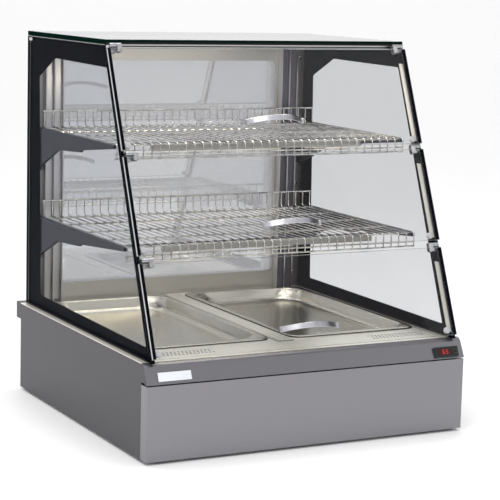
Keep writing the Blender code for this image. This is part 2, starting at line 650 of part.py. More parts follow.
def shelf_carrier(level):
    """Two tapered cantilever arms with rear flanges, tied together by a flat bar near their tips."""
    top = SHELF_TOPS[level] - WIRE - GAP
    front = SHELF_FRONTS[level] + 4.0
    rear = FRAME_FRONT - GAP
    outline = [(rear, top - 112), (571, top - 42), (437, top - 34), (432, top - 29), (front, top - 8),
               (front, top), (rear, top)]
    arm_half = 4.0
    middle = SHELF_HALF - arm_half
    name = f"shelf_carrier_{level}"
    arm = plate(name, CHARCOAL, SIDEWAYS, outline, 2 * arm_half, (-middle, 0, 0))
    join(arm, plate(name + "_right", None, SIDEWAYS, outline, 2 * arm_half, (middle, 0, 0), group=CUTTERS))
    for side in (-1, 1):
        join_box(arm, f"{name}_flange_{side}", sided(side, 342, middle), (rear - 3, rear - 0.1),
                 (top - 106, top - 4))
    join_box(arm, name + "_tie", (-middle, middle), (front + 18, front + 40), (top - 3, top - 0.2))
    box(f"shelf_lamp_{level}", CHARCOAL, (-262, 262), (front + 20, front + 38), (top - 17, top - 3 - GAP))


WIRE = 4.0
BAYS = 18


def shelf(level):
    """Wire shelf: rear upstand, flat run and front lip from one bent grid, cut into wires and rods."""
    top, front = SHELF_TOPS[level], SHELF_FRONTS[level]
    rise = 37.0
    path = [(SHELF_REAR, top + rise), (SHELF_REAR, top - WIRE), (front, top - WIRE), (front, top - SHELF_LIP)]
    name = f"shelf_{level}"
    sheet = plate(name, CHROME, SIDEWAYS, strip_outline(path, -WIRE), 2 * SHELF_HALF, (0, 0, 0))
    span = 2 * SHELF_HALF - WIRE
    pitch = span / BAYS
    rods = [front + WIRE + 1, front + (SHELF_REAR - front) * 0.35, front + (SHELF_REAR - front) * 0.68,
            SHELF_REAR - WIRE - 1]
    windows = []
    for bay in range(BAYS):
        left = -SHELF_HALF + WIRE + pitch * bay
        x = (left, left + pitch - WIRE)
        for first, second in zip(rods, rods[1:]):
            windows.append((x, (first + WIRE / 2, second - WIRE / 2), (top - 20, top + 12)))
        windows.append((x, (SHELF_REAR - 15, SHELF_REAR + 15), (top + WIRE, top + rise - WIRE)))
        windows.append((x, (front - 15, front + 15), (top - SHELF_LIP + WIRE, top - 2 * WIRE)))
    cut(sheet, merged_boxes(name + "_windows", windows))


# ---------------------------------------------------------------- front flaps

AXIS_OUT = FLAP_CLEAR + GLASS / 2     # hinge axis, outward from the side glass edge
AXIS_RISE = 6.9              # hinge axis above the flap's top edge, along the slope
BARREL = 5.0
PIN = 2.5
KNUCKLE_X = (352.0, GLASS_OUT - GLASS - GAP)
CLAMP_X = (341.0, 352.0 - GAP)
CHEEK = 9.0                  # how far the clamp reaches down over the flap's top edge


def along_x(centre, radius, length, name, frame, look=None, group=CUTTERS):
    """A cylinder along X, centred at x on a slope frame."""
    turn = Matrix.Rotation(math.pi / 2, 4, 'Y')
    shift = Matrix.Translation(Vector((centre, 0, 0)) * MM)
    return add(name, cylinder_mesh(name, radius, length, 16), look, frame @ shift @ turn, group)


def flap(level):
    """One glass flap with its bow handle and two clamps, on pins carried by knuckles on the side glasses."""
    top, bottom = FLAPS[level]
    length = (top - bottom) / math.cos(SLOPE)
    axis = slope_frame(top + AXIS_RISE * math.cos(SLOPE), AXIS_OUT)
    half_glass = GLASS / 2
    glass = box_mesh(f"flap_{level}_glass", (-GLASS_OUT, -AXIS_RISE - length, -half_glass),
                     (GLASS_OUT, -AXIS_RISE, half_glass))
    add(f"flap_{level}_glass", glass, CLEAR, axis)

    # Bow handle: a flat strip bent to an arc that stands off the glass
    half, stand, pad = 72.0, 26.0, 12.0
    path = [(-half, 0.0), (-half + pad, 0.0)]
    for step in range(9):
        t = step / 8
        path.append((-half + pad + 5 + (2 * half - 2 * pad - 10) * t, 4.0 + stand * math.sin(math.pi * t) ** 0.8))
    path += [(half - pad, 0.0), (half, 0.0)]
    axis_z = axis.translation.z / MM
    rise = (HANDLE_Z[level] - axis_z) / math.cos(SLOPE)
    strip = outline_mesh(f"flap_{level}_handle", strip_outline(path, 3.0), (), 12.0)
    shift = Matrix.Translation(Vector((0, rise, half_glass + GAP)) * MM)
    add(f"flap_{level}_handle", strip, CHROME, axis @ shift @ FACING)

    for word, side in (("left", -1), ("right", 1)):
        # Moving clamp: a bored barrel with two cheeks that grip the flap's top edge
        name = f"flap_{level}_clamp_{word}"
        x = sided(side, *CLAMP_X)
        middle = (x[0] + x[1]) / 2
        clamp = add(name, box_mesh(name, (x[0], -AXIS_RISE - CHEEK, -5.3), (x[1], -1.0, 5.3)), CHROME, axis)
        cut(clamp, add(name + "_slot", box_mesh(name + "_slot", (x[0] - 5, -60, -half_glass - GAP),
                                                (x[1] + 5, -AXIS_RISE + GAP, half_glass + GAP)), None, axis, CUTTERS))
        join(clamp, along_x(middle, BARREL, x[1] - x[0], name + "_barrel", axis))
        cut(clamp, along_x(middle, PIN + 0.4, 60, name + "_bore", axis))
        # Fixed knuckle: a pad on the inner face of the side glass, a neck through the gap, a barrel and a pin
        name = f"hinge_knuckle_{level}_{word}"
        x = sided(side, *KNUCKLE_X)
        middle = (x[0] + x[1]) / 2
        knuckle = add(name, box_mesh(name, (x[0], -14.0, -AXIS_OUT - 14), (x[1], 1.0, -AXIS_OUT)), CHROME, axis)
        neck = box_mesh(name + "_neck", (x[0], -4.0, -AXIS_OUT - 3), (x[1], 0.8, 0.0))
        join(knuckle, add(name + "_neck", neck, None, axis, CUTTERS))
        join(knuckle, along_x(middle, BARREL, x[1] - x[0], name + "_barrel", axis))
        join(knuckle, along_x(side * 352, PIN, 16, name + "_pin", axis))


# ---------------------------------------------------------------- assembly

base_cabinet()
front_panel()
fascia()
thermostat()
feet()
cable_gland()
main_switch()
deck()
centre_grille()
for word, sign in (("left", -1), ("right", 1)):
    pan(f"pan_{word}", sign)
    heater(f"heater_{word}", sign)
    side_glass(f"side_glass_{word}", sign)
    rear_post(f"rear_post_{word}", sign)
heater_support()
fan()
top_glass()
front_tie_bar()
rear_frame()
rear_ledge()
rear_door()
for floor in ("upper", "lower"):
    shelf_carrier(floor)
    shelf(floor)
for row in ("upper", "middle", "lower"):
    flap(row)
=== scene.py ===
"""Looks for the hot food display case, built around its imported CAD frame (metres, +Z up, front faces -Y)."""
import math

import bmesh
import bpy
from mathutils import Matrix, Vector
from mathutils.geometry import tessellate_polygon


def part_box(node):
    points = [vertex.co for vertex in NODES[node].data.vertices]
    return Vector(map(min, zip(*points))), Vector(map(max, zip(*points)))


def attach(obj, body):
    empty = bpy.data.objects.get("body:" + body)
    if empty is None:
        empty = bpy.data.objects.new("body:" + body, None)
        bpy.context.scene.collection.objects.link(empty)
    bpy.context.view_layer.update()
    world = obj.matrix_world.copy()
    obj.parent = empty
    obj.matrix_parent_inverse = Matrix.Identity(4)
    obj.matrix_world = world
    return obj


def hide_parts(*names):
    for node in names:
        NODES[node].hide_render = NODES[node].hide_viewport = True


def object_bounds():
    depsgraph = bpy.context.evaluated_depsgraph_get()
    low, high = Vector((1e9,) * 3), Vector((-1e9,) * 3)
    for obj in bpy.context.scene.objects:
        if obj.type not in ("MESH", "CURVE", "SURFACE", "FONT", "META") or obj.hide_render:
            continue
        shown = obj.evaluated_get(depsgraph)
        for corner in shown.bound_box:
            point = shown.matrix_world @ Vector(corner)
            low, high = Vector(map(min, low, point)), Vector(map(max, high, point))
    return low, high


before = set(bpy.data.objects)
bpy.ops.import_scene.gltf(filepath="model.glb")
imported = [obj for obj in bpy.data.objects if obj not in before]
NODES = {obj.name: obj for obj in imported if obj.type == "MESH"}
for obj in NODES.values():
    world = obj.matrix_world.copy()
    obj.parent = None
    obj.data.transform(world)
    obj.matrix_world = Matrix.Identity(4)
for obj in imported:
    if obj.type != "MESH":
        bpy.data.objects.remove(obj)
CAD_LOW, CAD_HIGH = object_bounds()
MM = 0.001
FLAPS = ("upper", "middle", "lower")
SHELVES = ("upper", "lower")
SIDES = (("left", -1), ("right", 1))
FLAP_THICK = 0.006
# Lengths below are in metres, unless a name or a comment says mm

# ------------------------------------------------------------------ places read from the CAD

FRONT_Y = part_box("front_panel")[0].y
SIDE_LOW, SIDE_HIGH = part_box("side_glass_right")
TOP_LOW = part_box("top_glass")[0]
SLOPE_TAN = (TOP_LOW.y - SIDE_LOW.y) / (TOP_LOW.z - SIDE_LOW.z)
SLOPE = math.atan(SLOPE_TAN)
UP = Vector((0, math.sin(SLOPE), math.cos(SLOPE)))
OUT = Vector((0, -math.cos(SLOPE), math.sin(SLOPE)))


def depth(mm):
    """World Y of a distance behind the front panel."""
    return FRONT_Y + mm * MM


def edge_y(z):
    """World Y of the side glasses' sloping front edge at height z (metres)."""
    return SIDE_LOW.y + SLOPE_TAN * (z - SIDE_LOW.z)


# ------------------------------------------------------------------ materials

EDGE_ROUGH = 0.12                  # cut edges of a pane
SMEAR = 0.02                       # most roughness of a pane's shine
SLANT_POWER = 4.0                  # how late a pane's shine grows as it turns away
FACE_LIMIT = 0.8                   # share of a face's normal along the pane's thickness
BUMP_HEIGHT = 0.0004


def tree(name):
    """A new material, with its nodes, its links and its main shader."""
    mat = bpy.data.materials.new(name)
    mat.use_nodes = True
    nodes = mat.node_tree.nodes
    shader = nodes["Principled BSDF"]
    return mat, nodes, mat.node_tree.links, shader


def noise(nodes, links, scale, detail, stretch=(1, 1, 1)):
    """Noise on object coordinates, stretched per axis."""
    coord = nodes.new("ShaderNodeTexCoord")
    mapping = nodes.new("ShaderNodeMapping")
    mapping.inputs["Scale"].default_value = stretch
    texture = nodes.new("ShaderNodeTexNoise")
    texture.inputs["Scale"].default_value = scale
    texture.inputs["Detail"].default_value = detail
    links.new(coord.outputs["Object"], mapping.inputs["Vector"])
    links.new(mapping.outputs["Vector"], texture.inputs["Vector"])
    return texture


def ranged(nodes, links, socket, low, high):
    """Map a 0..1 value to low..high."""
    node = nodes.new("ShaderNodeMapRange")
    node.inputs["To Min"].default_value = low
    node.inputs["To Max"].default_value = high
    links.new(socket, node.inputs["Value"])
    return node.outputs["Result"]


def surface(name, colour, rough, metallic, spread, tone, scale, stretch=(1, 1, 1), bump=0.0, gloss=0.5):
    """Finish varied by a noise: its roughness by up to spread, its brightness by up to the share in tone."""
    mat, nodes, links, shader = tree(name)
    shader.inputs["Metallic"].default_value = metallic
    shader.inputs["Specular IOR Level"].default_value = gloss
    grain = noise(nodes, links, scale, 4.0, stretch)
    links.new(ranged(nodes, links, grain.outputs["Fac"], max(rough - spread, 0.01), rough + spread),
              shader.inputs["Roughness"])
    ramp = nodes.new("ShaderNodeMix")
    ramp.data_type = 'RGBA'
    ramp.inputs["A"].default_value = (*[c * (1 - tone) for c in colour], 1)
    ramp.inputs["B"].default_value = (*[min(c * (1 + tone), 1) for c in colour], 1)
    links.new(grain.outputs["Fac"], ramp.inputs["Factor"])
    links.new(ramp.outputs["Result"], shader.inputs["Base Color"])
    if bump:
        node = nodes.new("ShaderNodeBump")
        node.inputs["Strength"].default_value = bump
        node.inputs["Distance"].default_value = BUMP_HEIGHT
        links.new(grain.outputs["Fac"], node.inputs["Height"])
        links.new(node.outputs["Normal"], shader.inputs["Normal"])
    return mat


def pane(name, tint, mirror, edge, edge_axis, edge_gloss=0.5, film=None):
    """Thin clear glass: see-through faces that shine more at a slant, and coloured cut edges.

    mirror is the shine seen straight on and the most it grows to at a slant. edge_axis is the pane's
    own thickness direction; faces that look across it are its cut edges. film is the colour and the
    share of a dull coating.
    """
    mat, nodes, links, shader = tree(name)
    shader.inputs["Roughness"].default_value = EDGE_ROUGH
    shader.inputs["Specular IOR Level"].default_value = edge_gloss
    grain = noise(nodes, links, 9.0, 2.0)
    ramp = nodes.new("ShaderNodeMix")
    ramp.data_type = 'RGBA'
    ramp.inputs["A"].default_value = (*[c * 0.9 for c in edge], 1)
    ramp.inputs["B"].default_value = (*edge, 1)
    links.new(grain.outputs["Fac"], ramp.inputs["Factor"])
    links.new(ramp.outputs["Result"], shader.inputs["Base Color"])
    clear = nodes.new("ShaderNodeBsdfTransparent")
    clear.inputs["Color"].default_value = (*tint, 1)
    gloss = nodes.new("ShaderNodeBsdfGlossy")
    gloss.inputs["Color"].default_value = (1, 1, 1, 1)
    links.new(ranged(nodes, links, grain.outputs["Fac"], 0.0, SMEAR), gloss.inputs["Roughness"])
    weight = nodes.new("ShaderNodeLayerWeight")
    weight.inputs["Blend"].default_value = 0.5
    power = nodes.new("ShaderNodeMath")
    power.operation = 'POWER'
    power.inputs[1].default_value = SLANT_POWER
    links.new(weight.outputs["Facing"], power.inputs[0])
    shine = ranged(nodes, links, power.outputs[0], *mirror)
    face = nodes.new("ShaderNodeMixShader")
    links.new(shine, face.inputs[0])
    links.new(clear.outputs[0], face.inputs[1])
    links.new(gloss.outputs[0], face.inputs[2])
    body = face.outputs[0]
    if film:
        dull = nodes.new("ShaderNodeBsdfDiffuse")
        dull.inputs["Color"].default_value = (*film[0], 1)
        haze = nodes.new("ShaderNodeMixShader")
        haze.inputs[0].default_value = film[1]
        links.new(body, haze.inputs[1])
        links.new(dull.outputs[0], haze.inputs[2])
        body = haze.outputs[0]
    coord = nodes.new("ShaderNodeTexCoord")
    dot = nodes.new("ShaderNodeVectorMath")
    dot.operation = 'DOT_PRODUCT'
    dot.inputs[1].default_value = tuple(edge_axis)
    links.new(coord.outputs["Normal"], dot.inputs[0])
    size = nodes.new("ShaderNodeMath")
    size.operation = 'ABSOLUTE'
    links.new(dot.outputs["Value"], size.inputs[0])
    flat = nodes.new("ShaderNodeMath")
    flat.operation = 'GREATER_THAN'
    flat.inputs[1].default_value = FACE_LIMIT
    links.new(size.outputs[0], flat.inputs[0])
    choice = nodes.new("ShaderNodeMixShader")
    links.new(flat.outputs[0], choice.inputs[0])
    links.new(shader.outputs[0], choice.inputs[1])
    links.new(body, choice.inputs[2])
    links.new(choice.outputs[0], nodes["Material Output"].inputs["Surface"])
    return mat


def glowing(name, colour, strength):
    """Lamp face: its brightness varies a little over its length."""
    mat, nodes, links, shader = tree(name)
    shader.inputs["Base Color"].default_value = (*colour, 1)
    shader.inputs["Emission Color"].default_value = (*colour, 1)
    grain = noise(nodes, links, 6.0, 1.0)
    links.new(ranged(nodes, links, grain.outputs["Fac"], strength * 0.92, strength * 1.08),
              shader.inputs["Emission Strength"])
    return mat


# Noise stretch for brush lines along an axis
ALONG_X = (6, 120, 120)
ALONG_Y = (120, 6, 120)
ALONG_Z = (120, 120, 6)
BRUSH_SCALE = 6.0


def brushed(name, colour, rough, metallic, spread=0.05, tone=0.03, lines=ALONG_X):
    """Sheet metal with fine brush lines."""
    return surface(name, colour, rough, metallic, spread, tone, BRUSH_SCALE, lines)


PANEL = brushed("panel_steel", (0.255, 0.250, 0.268), 0.42, 0.85, 0.03, 0.02)
CABINET = brushed("cabinet_steel", (0.085, 0.082, 0.090), 0.45, 0.8, 0.03, 0.02, ALONG_Y)
FASCIA = brushed("fascia_steel", (0.200, 0.197, 0.212), 0.36, 0.9, 0.04, 0.02)
DECK = brushed("deck_steel", (0.90, 0.88, 0.79), 0.34, 0.6)
# Pan steel tinted warm: the steel's own tone with painted warm light from the case's lamps
PAN = brushed("pan_steel_painted_warm_light", (0.66, 0.635, 0.56), 0.25, 1.0, 0.03, 0.02)
REAR = brushed("rear_steel", (0.52, 0.50, 0.47), 0.36, 1.0)
POST = brushed("post_steel", (0.50, 0.49, 0.50), 0.30, 1.0, lines=ALONG_Z)
# Dark strips for the right upright's grooves: painted shade in the grooves
GROOVE_SHADE = brushed("groove_painted_shade", (0.075, 0.070, 0.090), 0.40, 0.3, 0.05, 0.1, (60, 60, 3))
CHROME = surface("bright_chrome", (0.80, 0.80, 0.82), 0.10, 1.0, 0.04, 0.02, 60.0)
# Strong brightness noise along the wires: painted glints of reflected light on the chrome
WIRE = surface("wire_chrome_painted_glints", (0.55, 0.54, 0.52), 0.15, 1.0, 0.05, 0.8, 45.0)
SATIN = surface("satin_handle", (0.46, 0.46, 0.50), 0.26, 1.0, 0.05, 0.03, 60.0)
ALLOY = surface("anodised_alloy", (0.62, 0.61, 0.60), 0.35, 1.0, 0.05, 0.03, 30.0)
HOUSING = surface("lamp_housing", (0.36, 0.35, 0.32), 0.40, 0.8, 0.05, 0.1, 30.0)
CHARCOAL = surface("charcoal_coat", (0.022, 0.023, 0.034), 0.45, 0.0, 0.08, 0.08, 120.0, bump=0.1, gloss=0.25)
# Black print on the glass; the same black also makes the discs and sheets that are painted shade in the deck's
# holes
FRIT_AND_SHADE = surface("printed_border_and_hole_shade", (0.0035, 0.0037, 0.0070), 0.6, 0.0, 0.05, 0.1, 20.0, gloss=0.0)
# Black seals at the side glasses; the same black is also painted shadow under the pan rims and the tie bar
SEAL_AND_SHADE = surface("black_seal_and_shadow", (0.006, 0.006, 0.008), 0.5, 0.0, 0.08, 0.1, 60.0, gloss=0.15)
BLACK = surface("black_plastic", (0.018, 0.018, 0.020), 0.48, 0.0, 0.08, 0.1, 90.0, bump=0.1)
RUBBER = surface("foot_rubber", (0.025, 0.025, 0.026), 0.75, 0.0, 0.1, 0.1, 120.0, bump=0.2)
BEZEL = surface("bezel_plastic", (0.012, 0.020, 0.021), 0.22, 0.0, 0.06, 0.1, 60.0, gloss=0.3)
LENS = surface("display_lens", (0.030, 0.003, 0.004), 0.10, 0.0, 0.03, 0.1, 60.0, gloss=0.3)
PLATE = surface("blank_plate", (0.74, 0.77, 0.82), 0.35, 0.0, 0.05, 0.03, 30.0)
NYLON = surface("pale_nylon", (0.52, 0.52, 0.53), 0.30, 0.0, 0.06, 0.03, 60.0)
SHEATH = surface("element_sheath", (0.20, 0.17, 0.15), 0.5, 0.8, 0.08, 0.1, 60.0)
HINGE = surface("clear_hinge", (0.40, 0.40, 0.41), 0.14, 0.9, 0.05, 0.55, 160.0)
# Pale strips at the side glasses' sloping edges: painted highlight of the bright glass edges
EDGE_HIGHLIGHT = surface("pale_edge_highlight", (0.74, 0.72, 0.67), 0.30, 0.2, 0.05, 0.2, 12.0)
DIGIT = glowing("red_digits", (0.8, 0.03, 0.03), 0.18)
LAMP = glowing("warm_lamp", (1.0, 0.90, 0.72), 0.25)

EDGE_PALE = (0.42, 0.44, 0.44)
EDGE_DARK = (0.004, 0.005, 0.006)
LEFT_PANE = pane("left_pane", (0.90, 0.91, 0.925), (0.001, 0.04), EDGE_DARK, (1, 0, 0), 0.0)
RIGHT_PANE = pane("right_pane", (0.825, 0.827, 0.835), (0.001, 0.04), EDGE_DARK, (1, 0, 0), 0.0)
FLAP_PANE = pane("flap_pane", (0.955, 0.958, 0.962), (0.012, 0.4), EDGE_PALE, OUT)
TOP_PANE = pane("top_pane", (0.97, 0.972, 0.975), (0.06, 0.8), (0.002, 0.011, 0.008), (0, 0, 1), 0.0)
REAR_PANE = pane("rear_pane", (0.80, 0.805, 0.82), (0.26, 0.9), (0.10, 0.14, 0.13), (0, 1, 0),
                 film=((0.50, 0.505, 0.52), 0.16))


def paint(material, *names):
    """Give CAD nodes a material of their own."""
    for name in names:
        mesh = NODES[name].data
        mesh.materials.clear()
        mesh.materials.append(material)


paint(PANEL, "front_panel")
paint(CABINET, "base_cabinet", "rear_ledge", "heater_support")
paint(FASCIA, "fascia")
paint(DECK, "deck", "centre_grille")
paint(REAR, "rear_frame")
paint(POST, "rear_post_left", "rear_post_right")
paint(CHROME, "rear_door_handle", "rear_door_hinge_upper", "rear_door_hinge_lower")
paint(CHARCOAL, "shelf_carrier_upper", "shelf_carrier_lower")
paint(HOUSING, "shelf_lamp_upper", "shelf_lamp_lower")
paint(ALLOY, "front_tie_bar")
paint(BLACK, "fan_housing", "fan_impeller", "cable_gland", "main_switch_housing")
paint(BEZEL, "thermostat_body", "main_switch_rocker")
paint(BLACK, *[f"thermostat_key_{i}" for i in range(1, 5)])
paint(RUBBER, "foot_front_left", "foot_front_right", "foot_rear_left", "foot_rear_right")
paint(SHEATH, "heater_left", "heater_right")
paint(LEFT_PANE, "side_glass_left")
paint(RIGHT_PANE, "side_glass_right")
paint(TOP_PANE, "top_glass")
paint(REAR_PANE, "rear_door_glass")
for level in FLAPS:
    paint(FLAP_PANE, f"flap_{level}_glass")
    for side, _ in SIDES:
        paint(HINGE, f"flap_{level}_clamp_{side}", f"hinge_knuckle_{level}_{side}")


# ------------------------------------------------------------------ mesh helpers

SHARP_ANGLE = math.radians(35)
CORNER_STEPS = 4
TUBE_SIDES = 8
FLAT = 1e-6                        # height difference within which an edge counts as level


def piece(name, bm, material, body="case", smooth=True):
    """Make a mesh into a named piece that rides on a body of the frame."""
    bmesh.ops.recalc_face_normals(bm, faces=bm.faces)
    mesh = bpy.data.meshes.new(name)
    bm.to_mesh(mesh)
    bm.free()
    if smooth:
        mesh.shade_smooth()
        mesh.set_sharp_from_angle(angle=SHARP_ANGLE)
    mesh.materials.append(material)
    obj = bpy.data.objects.new(name, mesh)
    bpy.context.scene.collection.objects.link(obj)
    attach(obj, body)
    return obj


def edges_at(verts):
    """Edges at some vertices, each once and always in the same order."""
    return list(dict.fromkeys(edge for vert in verts for edge in vert.link_edges))


def add_box(bm, low, high, matrix=None, bevel=0.0):
    """A cuboid between corners given in metres, with optional bevelled edges."""
    low, high = Vector(low), Vector(high)
    made = bmesh.ops.create_cube(bm, size=1.0)["verts"]
    bmesh.ops.scale(bm, vec=high - low, verts=made)
    bmesh.ops.translate(bm, vec=(low + high) / 2, verts=made)
    if bevel:
        result = bmesh.ops.bevel(bm, geom=edges_at(made), offset=bevel, segments=2, profile=0.5,
                                 affect='EDGES')
        made = list({vert for face in result["faces"] for vert in face.verts} |
                    {vert for vert in made if vert.is_valid})
    if matrix is not None:
        bmesh.ops.transform(bm, matrix=matrix, verts=made)


def join_rings(bm, rings):
    """Quads between each ring of points and the next one."""
    for first, second in zip(rings, rings[1:]):
        for k in range(len(first)):
            j = (k + 1) % len(first)
            bm.faces.new((first[k], first[j], second[j], second[k]))


def add_prism(bm, loops, matrix, thick):
    """A flat outline with holes (first loop is outside), thick along local Z about its middle."""
    flat = [[Vector((u, v, 0.0)) for u, v in loop] for loop in loops]
    half = Vector((0, 0, thick / 2))
    top = [[bm.verts.new(matrix @ (p + half)) for p in loop] for loop in flat]
    low = [[bm.verts.new(matrix @ (p - half)) for p in loop] for loop in flat]
    top_all = [v for loop in top for v in loop]
    low_all = [v for loop in low for v in loop]
    for a, b, c in tessellate_polygon(flat):
        bm.faces.new((top_all[a], top_all[b], top_all[c]))
        bm.faces.new((low_all[c], low_all[b], low_all[a]))
    for rings in zip(top, low):
        join_rings(bm, rings)


def corner(before, here, after, radius):
    """Points of a rounded corner at the middle one of three points."""
    here = Vector(here)
    into = (Vector(before) - here).normalized() * radius
    away = (Vector(after) - here).normalized() * radius
    shares = [step / CORNER_STEPS for step in range(CORNER_STEPS + 1)]
    return [here + into * (1 - t) ** 2 + away * t ** 2 for t in shares]


def rounded(points, radius):
    """An open path with its inner corners rounded."""
    path = [Vector(points[0])]
    for before, here, after in zip(points, points[1:], points[2:]):
        path += corner(before, here, after, radius)
    return path + [Vector(points[-1])]


def rounded_loop(points, radius):
    """A closed 2-D outline with rounded corners."""
    path = []
    for before, here, after in zip(points[-1:] + points[:-1], points, points[1:] + points[:1]):
        path += corner(before, here, after, radius)
    return [tuple(p) for p in path]


def add_tube(bm, path, radius):
    """A round wire with closed ends along a path."""
    path = [Vector(p) for p in path]
    tangent = (path[1] - path[0]).normalized()
    side = tangent.orthogonal().normalized()
    rings = []
    for i, point in enumerate(path):
        if i == 0:
            ahead = path[1] - path[0]
        elif i == len(path) - 1:
            ahead = path[-1] - path[-2]
        else:
            ahead = (path[i + 1] - path[i]).normalized() + (path[i] - path[i - 1]).normalized()
        ahead = ahead.normalized()
        side = (side - ahead * side.dot(ahead)).normalized()
        other = ahead.cross(side)
        rings.append([bm.verts.new(point + (side * math.cos(a) + other * math.sin(a)) * radius)
                      for a in [math.tau * k / TUBE_SIDES for k in range(TUBE_SIDES)]])
    join_rings(bm, rings)
    bm.faces.new(rings[0])
    bm.faces.new(rings[-1])


# Rounded strip section: shares of half its width and of half its thickness
STRIP_SECTION = [(-1, -0.4), (-0.86, -1), (0.86, -1), (1, -0.4), (1, 0.4), (0.86, 1), (-0.86, 1), (-1, 0.4)]


def add_strip(bm, path, half_width, across, thick):
    """A flat strip swept along a path; across is its width direction."""
    across = Vector(across).normalized()
    path = [Vector(p) for p in path]
    rings = []
    for i, point in enumerate(path):
        ahead = path[min(i + 1, len(path) - 1)] - path[max(i - 1, 0)]
        normal = across.cross(ahead.normalized()).normalized()
        rings.append([bm.verts.new(point + across * half_width * a + normal * thick / 2 * n)
                      for a, n in STRIP_SECTION])
    join_rings(bm, rings)
    bm.faces.new(rings[0])
    bm.faces.new(rings[-1])


def add_disc(bm, centre, axis, radius, height, sides, bevel):
    """A short cylinder with rounded rims, centred at a point, along an axis."""
    turn = Vector((0, 0, 1)).rotation_difference(Vector(axis)).to_matrix().to_4x4()
    made = bmesh.ops.create_cone(bm, cap_ends=True, segments=sides, radius1=radius, radius2=radius,
                                 depth=height)["verts"]
    edges = [edge for edge in edges_at(made) if abs(edge.verts[0].co.z - edge.verts[1].co.z) < FLAT]
    result = bmesh.ops.bevel(bm, geom=edges, offset=bevel, segments=3, profile=0.5, affect='EDGES')
    fresh = {vert for face in result["faces"] for vert in face.verts}
    made = list(fresh | {vert for vert in made if vert.is_valid})
    bmesh.ops.transform(bm, matrix=Matrix.Translation(Vector(centre)) @ turn, verts=made)


# Local frame for outlines in (Y, Z), thick along X
YZ = Matrix(((0, 0, 1, 0), (1, 0, 0, 0), (0, 1, 0, 0), (0, 0, 0, 1)))


def slope_matrix(origin):
    """Local X = X, local Y = up the glass slope, local Z = outward."""
    return Matrix((Vector((1, 0, 0, 0)), (*UP, 0), (*OUT, 0), (*origin, 1))).transposed()


# ------------------------------------------------------------------ printed borders and seals

# Clear window in each side glass: distance behind the front panel and height, mm
SIDE_WINDOW = [(58, 237), (667, 242), (683, 759), (583, 806), (286, 802)]
WINDOW_ROUNDING = 0.004
PRINT_THICK = 0.0002
PRINT_GAP = 0.0003                 # glass face to the middle of the print


def side_border(name, side):
    """Black printed border behind a side glass, with its clipped-corner window."""
    low, high = SIDE_LOW.z, SIDE_HIGH.z
    outline = [(edge_y(low), low), (SIDE_HIGH.y, low), (SIDE_HIGH.y, high), (edge_y(high), high)]
    window = rounded_loop([(depth(d), z * MM) for d, z in SIDE_WINDOW], WINDOW_ROUNDING)
    x = side * (SIDE_LOW.x - PRINT_GAP)
    bm = bmesh.new()
    add_prism(bm, [outline, window], Matrix.Translation((x, 0, 0)) @ YZ, PRINT_THICK)
    piece(f"side_border_{name}", bm, FRIT_AND_SHADE, smooth=False)


def glass_seal(name, side):
    """Silicone lines along both faces of a side glass, where it stands on the deck."""
    radius, lift = 0.0019, 0.0016
    inside, outside = SIDE_LOW.x - 0.0022, SIDE_LOW.x + 0.0082
    front, rear = edge_y(SIDE_LOW.z) + 0.024, SIDE_HIGH.y - 0.014
    z = SIDE_LOW.z + lift
    bm = bmesh.new()
    for x in (side * inside, side * outside):
        add_tube(bm, [(x, front, z), (x, rear, z)], radius)
    piece(f"glass_seal_{name}", bm, SEAL_AND_SHADE)


def flap_inside(level):
    """Matrix on the flap's inner face (origin at its top edge, local Z outward) and the flap's length."""
    low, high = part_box(f"flap_{level}_glass")
    drop = FLAP_THICK * math.sin(SLOPE)
    length = (high.z - low.z - drop) / math.cos(SLOPE)
    return slope_matrix(Vector((0, high.y, high.z - drop))), length


def flap_borders():
    """Black printed line along each end of a flap, on its outer face."""
    inset, reach = 0.0003, 0.0072      # from the end of the glass
    margin = 0.0005                    # at the top and bottom
    near, far = FLAP_THICK + 0.00005, FLAP_THICK + 0.0003
    for level in FLAPS:
        matrix, length = flap_inside(level)
        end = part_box(f"flap_{level}_glass")[1].x
        bm = bmesh.new()
        for _, side in SIDES:
            a, b = sorted((side * (end - inset), side * (end - reach)))
            add_box(bm, (a, margin - length, near), (b, -margin, far), matrix)
        piece(f"flap_border_{level}", bm, FRIT_AND_SHADE, f"flap_{level}", smooth=False)


def bumpers():
    """Round pale bumpers on the lower corners of each flap's inner face."""
    radius, height, rounding = 0.0075, 0.008, 0.0018
    x, above_bottom, behind = 0.356, 0.0125, 0.0042
    for level in FLAPS:
        matrix, length = flap_inside(level)
        bm = bmesh.new()
        for _, side in SIDES:
            centre = matrix @ Vector((side * x, above_bottom - length, -behind))
            add_disc(bm, centre, OUT, radius, height, 24, rounding)
        piece(f"flap_bumpers_{level}", bm, NYLON, f"flap_{level}")


# ------------------------------------------------------------------ wire shelves

def wire_shelf(level):
    """Round-wire shelf: bent wires front to back, with rods across the upstand, the run and the lip."""
    low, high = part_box(f"shelf_{level}")
    wire, rod = 0.0015, 0.0020         # radii
    lip, bend = 0.036, 0.009
    margin = 0.004                     # rod end to the outermost wire
    count = 36
    half = high.x - rod
    top = low.z + lip - wire
    front, rear = low.y + wire, high.y - wire - 2 * rod
    bm = bmesh.new()
    for i in range(count):
        x = margin - half + 2 * (half - margin) * i / (count - 1)
        path = [(x, rear, high.z - rod), (x, rear, top), (x, front, top), (x, front, low.z + rod)]
        add_tube(bm, rounded(path, bend), wire)
    under = top - wire - rod
    inside = front + wire + rod
    # Rods across, as (y, z): top of the upstand, foot and middle of the lip, then under the run
    rails = [(rear + wire + rod, high.z - rod * 1.2), (inside, low.z + rod), (inside, top - 0.62 * lip)]
    rails += [(front + (rear - front) * share, under) for share in (0.03, 0.25, 0.5, 0.75, 0.98)]
    for y, z in rails:
        add_tube(bm, [(-half, y, z), (half, y, z)], rod)
    obj = piece(f"wire_shelf_{level}", bm, WIRE, f"shelf_{level}")
    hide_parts(f"shelf_{level}")


# ------------------------------------------------------------------ handles, pans and small fittings

